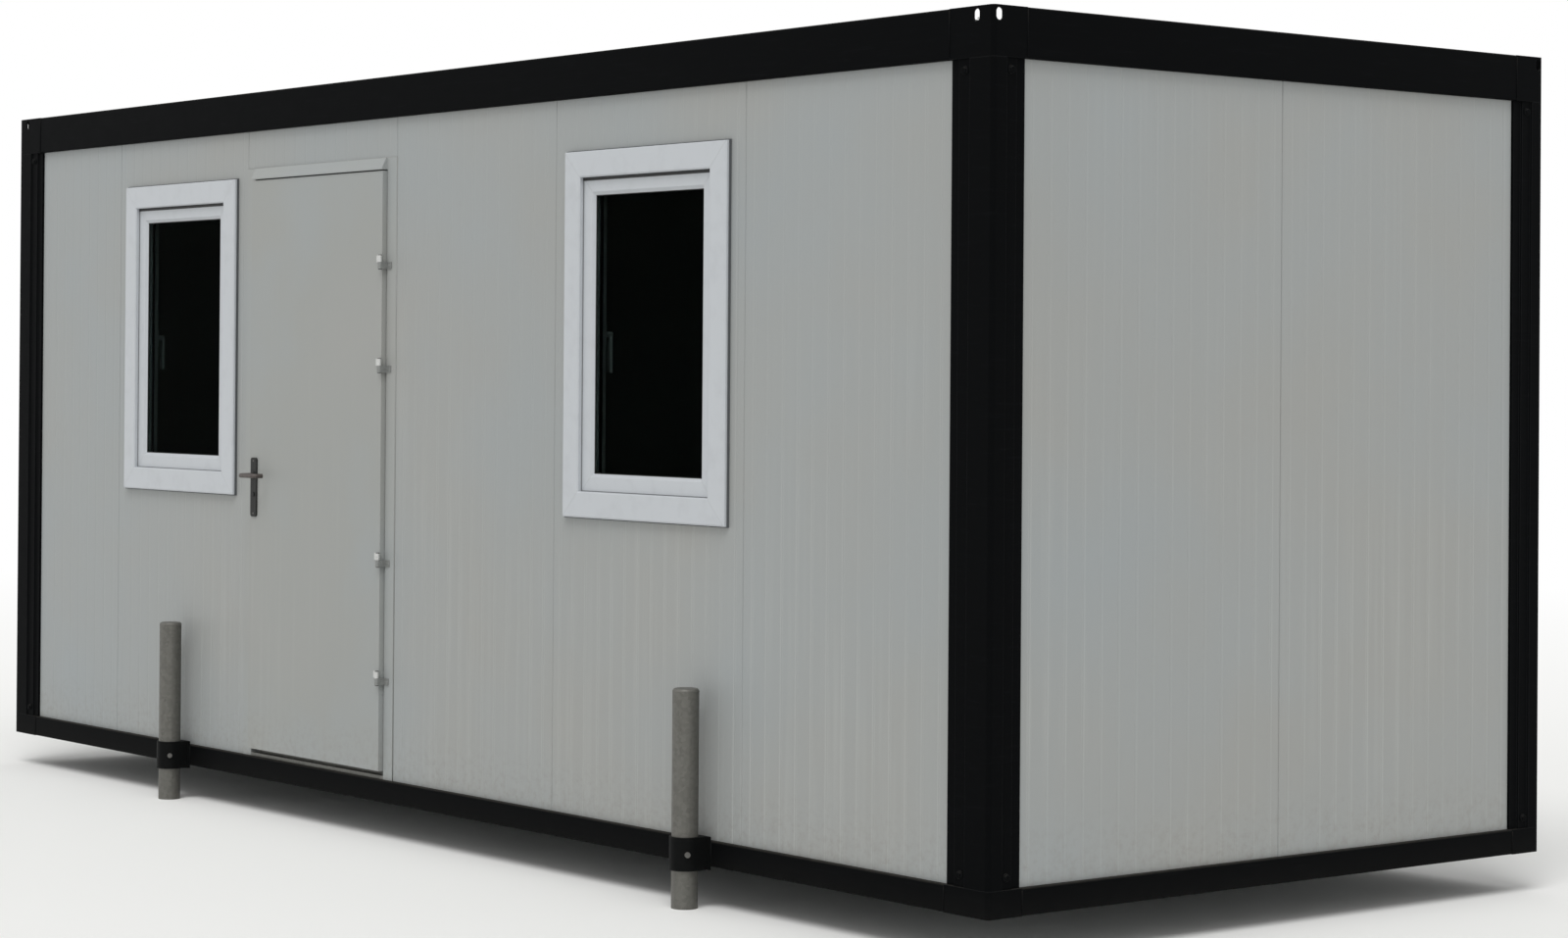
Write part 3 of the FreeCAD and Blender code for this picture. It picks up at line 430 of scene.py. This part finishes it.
def finishPiece(bm, name, material, body, smooth=False):
    bmesh.ops.recalc_face_normals(bm, faces=bm.faces)
    mesh = bpy.data.meshes.new(name)
    bm.to_mesh(mesh)
    bm.free()
    mesh.materials.append(material)
    for face in mesh.polygons:
        face.use_smooth = smooth
    piece = bpy.data.objects.new(name, mesh)
    bpy.context.scene.collection.objects.link(piece)
    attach(piece, body)


def addBlock(bm, low, high, bevel=0.0):
    low, high = Vector(low), Vector(high)
    made = bmesh.ops.create_cube(bm, size=1.0)
    bmesh.ops.scale(bm, vec=high - low, verts=made["verts"])
    bmesh.ops.translate(bm, vec=(low + high) / 2, verts=made["verts"])
    if bevel:
        edges = list({e for v in made["verts"] for e in v.link_edges})
        bmesh.ops.bevel(bm, geom=edges, offset=bevel, segments=2, profile=0.5, affect="EDGES",
                        material=-1)


def addRod(bm, start, end, radius, sides=12, endRadius=None):
    start, end = Vector(start), Vector(end)
    along = end - start
    turn = along.to_track_quat("Z", "Y").to_matrix().to_4x4()
    bmesh.ops.create_cone(
        bm, cap_ends=True, segments=sides, radius1=radius, radius2=endRadius or radius,
        depth=along.length, matrix=Matrix.Translation((start + end) / 2) @ turn)


def addRing(bm, low, high, y, inset, width, depth):
    # a flat rectangular ring at y, inset from the box of low and high, then pulled out along Y by depth
    left, right = low[0] + inset, high[0] - inset
    bottom, top = low[2] + inset, high[2] - inset
    corners = [(left, bottom), (right, bottom), (right, top), (left, top)]
    face = bm.faces.new([bm.verts.new((x, y, z)) for x, z in corners])
    bm.normal_update()
    band = bmesh.ops.inset_individual(bm, faces=[face], thickness=width)
    bmesh.ops.delete(bm, geom=[face], context="FACES_ONLY")
    pulled = bmesh.ops.extrude_face_region(bm, geom=band["faces"])
    moved = [v for v in pulled["geom"] if isinstance(v, bmesh.types.BMVert)]
    bmesh.ops.translate(bm, vec=(0, depth, 0), verts=moved)


def addStrip(bm, start, end, width, proud):
    # a flat strip between two points of a face that looks along Y, half of its thickness above it
    start, end = Vector(start), Vector(end)
    along = end - start
    made = bmesh.ops.create_cube(bm, size=1.0)
    bmesh.ops.scale(bm, vec=(along.length, 2 * proud, width), verts=made["verts"])
    turn = Matrix.Rotation(-math.atan2(along.z, along.x), 3, "Y")
    bmesh.ops.rotate(bm, cent=(0, 0, 0), matrix=turn, verts=made["verts"])
    bmesh.ops.translate(bm, vec=(start + end) / 2, verts=made["verts"])


def addCollar(bm, centre, axis, section, steps=32):
    # a ring turned about an axis; the section lists (radius, distance along the axis)
    centre, axis = Vector(centre), Vector(axis).normalized()
    side = axis.orthogonal().normalized()
    verts = [bm.verts.new(centre + side * r + axis * h) for r, h in section]
    edges = [bm.edges.new((verts[i - 1], verts[i])) for i in range(len(verts))]
    bmesh.ops.spin(bm, geom=verts + edges, cent=centre, axis=axis, dvec=(0, 0, 0),
                   angle=math.tau, steps=steps, use_merge=True, use_duplicate=False)


def addBolt(bm, at, outwards, size):
    # hexagon head on a round washer
    at, outwards = Vector(at), Vector(outwards)
    addRod(bm, at - outwards * size * 0.1, at + outwards * size * 0.25, size * 1.35, 20, size * 1.25)
    addRod(bm, at + outwards * size * 0.2, at + outwards * size * 0.85, size, 6, size * 0.96)


# Windows: foam tape in the undercut of the frame, whose edge past the rim is painted shade round it,
# gaskets, a dark rubber strip over the sash as painted shade under the head, mitre welds

windowTrim = {
    "rimBack": 12 * mm,  # frame face to the back of its rim
    "tapeInset": -3 * mm,  # it bulges a little past the rim, so its grey edge shows as painted shade round the frame
    "tapeWidth": 13 * mm,
    "headShadeStrip": 11 * mm,  # dark rubber strip under the head, over the sash: painted shade
    "lipWidth": 86 * mm,
    "sashWidth": 59 * mm,
    "gasket": (4 * mm, 2.5 * mm),  # width, and how far it stands out
    "shadeStripProud": 3.5 * mm,
    "shadeStripRound": 1.2 * mm,
    "glassSeal": (4 * mm, 3 * mm),
    "glassHidden": 13 * mm,
    "weld": (1.8 * mm, 0.3 * mm),
    "weldShort": 5 * mm,  # the welds stop this short of the edges
    "sashRebate": 13 * mm,
}


def windowDetails(side):
    trim = windowTrim
    low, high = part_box("window_frame_" + side)
    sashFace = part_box("window_sash_" + side)[0][1]
    glassLow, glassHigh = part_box("window_glass_" + side)
    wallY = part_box("window_panel_" + side)[0][1]
    rimBack = low[1] + trim["rimBack"]
    tape = bmesh.new()
    addRing(tape, low, high, rimBack, trim["tapeInset"], trim["tapeWidth"], wallY - rimBack)
    finishPiece(tape, "window_tape_and_shade_" + side, foamAndShade, "cabin")
    gasket = bmesh.new()
    width, proud = trim["gasket"]
    addRing(gasket, low, high, sashFace, trim["lipWidth"], width, -proud)
    finishPiece(gasket, "window_gasket_" + side, gasketGrey, "cabin")
    sealsAndShade = bmesh.new()
    lip = trim["lipWidth"]
    # a dark rubber strip under the head lip, painted shade where the lip shades the sash
    addBlock(sealsAndShade, (low[0] + lip, sashFace - trim["shadeStripProud"], high[2] - lip - trim["headShadeStrip"]),
             (high[0] - lip, sashFace, high[2] - lip), trim["shadeStripRound"])
    width, proud = trim["glassSeal"]
    for y, way in ((glassLow[1], -1), (glassHigh[1], 1)):
        addRing(sealsAndShade, glassLow, glassHigh, y, trim["glassHidden"], width, way * proud)
    finishPiece(sealsAndShade, "window_seals_and_head_shade_" + side, rubber, "cabin")
    welds = bmesh.new()
    width, proud = trim["weld"]
    short = trim["weldShort"]
    for y, first, last in (
            (low[1], short, lip - short),
            (sashFace, lip + short, lip + trim["sashWidth"] - trim["sashRebate"])):
        for x, wayX in ((low[0], 1), (high[0], -1)):
            for z, wayZ in ((low[2], 1), (high[2], -1)):
                addStrip(welds, (x + wayX * first, y, z + wayZ * first),
                         (x + wayX * last, y, z + wayZ * last), width, proud)
    finishPiece(welds, "window_mitre_welds_" + side, weldedVinyl, "cabin")


print("window details")
for windowSide in ("left", "right"):
    windowDetails(windowSide)


# Door: seal in the gap, bead round the frame, screws and caps of the hinges, and on the lock plates
# screws, key slots and collars

doorTrim = {
    "sealBack": 24 * mm,  # leaf's face to the seal
    "gap": 4.6 * mm,  # between leaf and frame
    "sealWidth": 4 * mm,
    "sealDepth": 6 * mm,
    "beadRadius": 2.4 * mm,
    "hingeRises": (332 * mm, 754 * mm),  # lower hinges, above the bottom of the leaf
    "hingeDrops": (697 * mm, 327 * mm),  # upper hinges, below its top
    "knuckleRadius": 9 * mm,
    "knuckleLength": 24.25 * mm,
    "wingSteel": 3 * mm,  # thickness of a hinge wing
    "capHeight": 2.4 * mm,
    "screwPlaces": (16 * mm, 27 * mm),  # out from the pin
    "screwRadius": 3.2 * mm,
    "screwSunk": 0.4 * mm,
    "screwLength": 1.6 * mm,
    "spindleDrop": 66 * mm,  # top of the lock plates to the lever's spindle
    "plateScrewRadius": 4 * mm,
    "plateScrewInset": 12 * mm,
    "plateScrew": (0.3 * mm, 1.4 * mm),  # below the plate's face, and above it
    "keySlot": (2.4 * mm, 9 * mm, 0.3 * mm),  # width, height, and depth to each side of the face
    "collar": (8.9 * mm, 14 * mm, 3.5 * mm),  # inner and outer radius, height
}


def doorDetails():
    trim = doorTrim
    leafLow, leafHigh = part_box("door_leaf")
    seal = bmesh.new()
    addRing(seal, leafLow, leafHigh, leafLow[1] + trim["sealBack"], -trim["gap"],
            trim["sealWidth"], trim["sealDepth"])
    finishPiece(seal, "door_seal", doorSealRubber, "cabin")

    leftLow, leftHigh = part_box("door_jamb_left")
    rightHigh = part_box("door_jamb_right")[1]
    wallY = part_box("front_wall_panels")[0][1]
    bead = bmesh.new()
    radius = trim["beadRadius"]
    for x in (leftLow[0], rightHigh[0]):
        addRod(bead, (x, wallY, leftLow[2]), (x, wallY, leftHigh[2]), radius, 10)
    addRod(bead, (leftLow[0], wallY, leftHigh[2]), (rightHigh[0], wallY, leftHigh[2]), radius, 10)
    finishPiece(bead, "door_frame_bead", mastic, "cabin", smooth=True)

    swing = next(joint for joint in frame["joints"] if joint["name"] == "door_swing")
    axisX, axisY = swing["pos_m"][:2]
    levels = [leafLow[2] + rise for rise in trim["hingeRises"]]
    levels += [leafHigh[2] - drop for drop in trim["hingeDrops"]]
    length = trim["knuckleLength"]
    caps = {"door": bmesh.new(), "cabin": bmesh.new()}
    for name, body, way, face in (
            ("door_hinge_leaf_fixings", "door", -1, leafLow[1]),
            ("door_hinge_jamb_fixings", "cabin", 1, leftLow[1])):
        fixings = bmesh.new()
        for level in levels:
            z = level - way * length / 2
            for reach in trim["screwPlaces"]:
                head = (axisX + way * reach, face - trim["wingSteel"] + trim["screwSunk"], z)
                addRod(fixings, head, (head[0], head[1] - trim["screwLength"], z), trim["screwRadius"], 14,
                       trim["screwRadius"] * 0.7)
            end = level - way * length
            addRod(caps[body], (axisX, axisY, end + way * 0.2 * mm),
                   (axisX, axisY, end - way * trim["capHeight"]),
                   trim["knuckleRadius"] * 0.94, 20, trim["knuckleRadius"] * 0.6)
        finishPiece(fixings, name, plateZincAndHighlight if body == "door" else hingeZincShaded, body)
    finishPiece(caps["door"], "door_hinge_upper_caps", nylon, "door")
    # the dark lower caps are real caps and also stand for the shade under each hinge
    finishPiece(caps["cabin"], "door_hinge_lower_caps_and_shade", nylon, "cabin")

    plateLow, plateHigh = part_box("door_lock_plates")
    coreLow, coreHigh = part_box("lock_cylinder")
    x = (plateLow[0] + plateHigh[0]) / 2
    spindleZ = plateHigh[2] - trim["spindleDrop"]
    screws, slots, collars = bmesh.new(), bmesh.new(), bmesh.new()
    inner, outer, rise = trim["collar"]
    below, above = trim["plateScrew"]
    wide, tall, deep = trim["keySlot"]
    for faceY, coreY, way in ((plateLow[1], coreLow[1], -1), (plateHigh[1], coreHigh[1], 1)):
        for z in (plateLow[2] + trim["plateScrewInset"], plateHigh[2] - trim["plateScrewInset"]):
            addRod(screws, (x, faceY - way * below, z), (x, faceY + way * above, z),
                   trim["plateScrewRadius"], 16, trim["plateScrewRadius"] * 0.75)
        z = (coreLow[2] + coreHigh[2]) / 2
        addBlock(slots, (x - wide / 2, coreY - deep, z - tall / 2),
                 (x + wide / 2, coreY + deep, z + tall / 2))
        addCollar(collars, (x, faceY, spindleZ), (0, way, 0), [
            (inner, 0), (outer, 0), (outer, rise * 0.6), (outer - rise * 0.5, rise), (inner, rise)])
    finishPiece(screws, "lock_plate_screws", pinZinc, "door")
    finishPiece(slots, "key_slots", rubber, "door")
    finishPiece(collars, "lever_collars", nylon, "door", smooth=True)


print("door details")
doorDetails()


# Steel frame: weld beads where the rails meet the corner fittings, bolts at both ends of the posts

frameTrim = {
    "faceLong": 186 * mm,  # width of the fittings on the long sides, and on the ends
    "faceShort": 133 * mm,
    "weldRadius": 2 * mm,
    "weldShort": 6 * mm,  # the beads stop this short of the rails' edges
    "boltSize": 10 * mm,
    "boltLong": 125 * mm,  # corner to bolt, on a long side and on an end
    "boltShort": 75 * mm,
    "boltBack": 6 * mm,  # the posts' side flanges lie this far back
    "boltReach": 34 * mm,  # end of the post to the bolt
}


def frameDetails():
    trim = frameTrim
    low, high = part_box("base_corner_fittings")[0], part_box("roof_corner_fittings")[1]
    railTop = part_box("base_rail_front")[1][2]
    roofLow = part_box("roof_rail_front")[0][2]
    halfX, halfY = high[0], high[1]
    welds, bolts = bmesh.new(), bmesh.new()
    for signX in (-1, 1):
        for signY in (-1, 1):
            weldX, weldY = signX * (halfX - trim["faceLong"]), signY * (halfY - trim["faceShort"])
            short = trim["weldShort"]
            for z0, z1 in ((low[2] + short, railTop - short), (roofLow + short, high[2] - short)):
                for x, y in ((weldX, signY * halfY), (signX * halfX, weldY)):
                    addRod(welds, (x, y, z0), (x, y, z1), trim["weldRadius"], 10)
            back = trim["boltBack"]
            for z in (railTop + trim["boltReach"], roofLow - trim["boltReach"]):
                addBolt(bolts, (signX * (halfX - trim["boltLong"]), signY * (halfY - back), z),
                        (0, signY, 0), trim["boltSize"])
                addBolt(bolts, (signX * (halfX - back), signY * (halfY - trim["boltShort"]), z),
                        (signX, 0, 0), trim["boltSize"])
    finishPiece(welds, "frame_weld_beads", frameSteel, "cabin", smooth=True)
    finishPiece(bolts, "post_bolts", frameSteel, "cabin")


# Roof: a screw with its washer on every rib of the sheet, in four rows

roofTrim = {"ribPitch": 260 * mm, "ribs": 23, "rows": (-1120 * mm, -380 * mm, 380 * mm, 1120 * mm),
            "screwSize": 5 * mm}


def roofDetails():
    trim = roofTrim
    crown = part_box("roof_sheet")[1][2]
    screws = bmesh.new()
    for i in range(trim["ribs"]):
        x = (i - (trim["ribs"] - 1) / 2) * trim["ribPitch"]
        for y in trim["rows"]:
            addBolt(screws, (x, y, crown), (0, 0, 1), trim["screwSize"])
    finishPiece(screws, "roof_sheet_screws", plateZincAndHighlight, "cabin")


# Support legs: the weld under each end cap, and the beads that hold the clamps to the base rail

legTrim = {
    "places": (-1587 * mm, 1700 * mm),  # along the long sides
    "radius": 42 * mm,
    "capRound": 9 * mm,
    "earReach": 59.3 * mm,  # middle of the tube to the end of a clamp
    "beadRadius": 2.6 * mm,
    "beadShort": 5 * mm,
    # the weld under the cap: how far out from the tube, and how high
    "capWeld": ((-1 * mm, -3 * mm), (0.5 * mm, -2 * mm), (0.9 * mm, 0), (0.2 * mm, 1.5 * mm),
                (-1 * mm, 1.5 * mm)),
}


def legDetails():
    trim = legTrim
    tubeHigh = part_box("support_legs")[1]
    railLow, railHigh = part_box("base_rail_front")
    top = tubeHigh[2] - trim["capRound"]
    caps, beads = bmesh.new(), bmesh.new()
    for x in trim["places"]:
        for side in (-1, 1):
            y = side * (tubeHigh[1] - trim["radius"])
            section = [(trim["radius"] + out, rise) for out, rise in trim["capWeld"]]
            addCollar(caps, (x, y, top), (0, 0, 1), section, 48)
            railY = side * abs(railLow[1])
            for way in (-1, 1):
                ear = x + way * trim["earReach"]
                addRod(beads, (ear, railY, railLow[2] + trim["beadShort"]),
                       (ear, railY, railHigh[2] - trim["beadShort"]), trim["beadRadius"], 10)
    finishPiece(caps, "leg_cap_welds", tubeZinc, "cabin", smooth=True)
    finishPiece(beads, "clamp_weld_beads", clampCoat, "cabin", smooth=True)


print("frame, roof and leg details")
frameDetails()
roofDetails()
legDetails()


# Floor, light and camera

studioLook = {
    "skyLight": 0.62,  # strength of the white sky on the object; it is seen at 1
    "floorHalf": 40.0,
    "floorColour": "#F4F4F2",
    "floorFade": (4.5, 16.0),  # metres from the middle
    "sunEnergy": 1.4,
    "sunSpread": 30,  # degrees
    "fromSun": (0.5, -0.6, 1.3),
}


def studio():
    look = studioLook
    world = bpy.data.worlds.new("studio")
    bpy.context.scene.world = world
    world.use_nodes = True
    path = addNode(world, "ShaderNodeLightPath")
    seen = addNode(world, "ShaderNodeMath", {"operation": "MAXIMUM"},
                   {0: path.outputs["Is Camera Ray"], 1: path.outputs["Is Glossy Ray"]})
    seen = addNode(world, "ShaderNodeMath", {"operation": "MAXIMUM"},
                   {0: seen.outputs["Value"], 1: path.outputs["Is Transmission Ray"]})
    plain = world.node_tree.nodes["Background"]
    plain.inputs["Color"].default_value = (1, 1, 1, 1)
    plain.inputs["Strength"].default_value = look["skyLight"]
    shown = addNode(world, "ShaderNodeBackground", {"Color": (1, 1, 1, 1), "Strength": 1.0})
    both = addNode(world, "ShaderNodeMixShader", links={
        0: seen.outputs["Value"], 1: plain.outputs["Background"], 2: shown.outputs["Background"]})
    link(world, both.outputs["Shader"], world.node_tree.nodes["World Output"].inputs["Surface"])

    bm = bmesh.new()
    bmesh.ops.create_grid(bm, x_segments=1, y_segments=1, size=look["floorHalf"])
    mesh = bpy.data.meshes.new("floor")
    bm.to_mesh(mesh)
    bm.free()
    floor = bpy.data.objects.new("floor", mesh)
    bpy.context.scene.collection.objects.link(floor)
    material, shader, place = newMaterial("paleFloor", look["floorColour"], 0.9)
    shader.inputs["Specular IOR Level"].default_value = 0.0
    # far from the cabin the floor is seen as white, so that it meets the background without a line
    distance = addNode(material, "ShaderNodeVectorMath", {"operation": "LENGTH"},
                       {0: place.outputs["Object"]})
    fadeFrom, fadeTo = look["floorFade"]
    fade = addNode(material, "ShaderNodeMapRange", {"From Min": fadeFrom, "From Max": fadeTo},
                   {"Value": distance.outputs["Value"]})
    path = addNode(material, "ShaderNodeLightPath")
    faded = addNode(material, "ShaderNodeMath", {"operation": "MULTIPLY"},
                    {0: fade.outputs["Result"], 1: path.outputs["Is Camera Ray"]})
    white = addNode(material, "ShaderNodeEmission", {"Color": (1, 1, 1, 1), "Strength": 1.0})
    mixed = addNode(material, "ShaderNodeMixShader", links={
        0: faded.outputs["Value"], 1: shader.outputs["BSDF"], 2: white.outputs["Emission"]})
    output = material.node_tree.nodes["Material Output"]
    link(material, mixed.outputs["Shader"], output.inputs["Surface"])
    mesh.materials.append(material)

    sun = bpy.data.lights.new("softSun", "SUN")
    sun.energy = look["sunEnergy"]
    sun.angle = math.radians(look["sunSpread"])
    sunHolder = bpy.data.objects.new("softSun", sun)
    bpy.context.scene.collection.objects.link(sunHolder)
    sunHolder.rotation_euler = Vector(look["fromSun"]).to_track_quat("Z", "Y").to_euler()


cameraView = {
    "at": (10.068, -7.732, 1.671),
    "yaw": -0.9125,  # from +Y towards +X, radians
    "pitch": 0.0059,
    "roll": 0.0074,
    "sensorWidth": 36.0,
    "focalLength": 77.63,
    "shift": (0.0584, -0.0741),  # the picture is cut from a larger one, off its middle
}


def makeCamera():
    shot = cameraView
    yaw, pitch, roll = shot["yaw"], shot["pitch"], shot["roll"]
    ahead = Vector((math.cos(pitch) * math.sin(yaw), math.cos(pitch) * math.cos(yaw), math.sin(pitch)))
    right = Vector((math.cos(yaw), -math.sin(yaw), 0))
    up = right.cross(ahead)
    rolledRight = math.cos(roll) * right + math.sin(roll) * up
    rolledUp = math.cos(roll) * up - math.sin(roll) * right
    lens = bpy.data.cameras.new("camera")
    lens.sensor_width = shot["sensorWidth"]
    lens.lens = shot["focalLength"]
    lens.shift_x, lens.shift_y = shot["shift"]
    lens.clip_end = 200.0
    camera = bpy.data.objects.new("camera", lens)
    bpy.context.scene.collection.objects.link(camera)
    turn = Matrix((rolledRight, rolledUp, -ahead)).transposed().to_4x4()
    camera.matrix_world = Matrix.Translation(shot["at"]) @ turn
    bpy.context.scene.camera = camera


print("studio and camera")
studio()
makeCamera()
bpy.context.scene.view_settings.view_transform = "Standard"
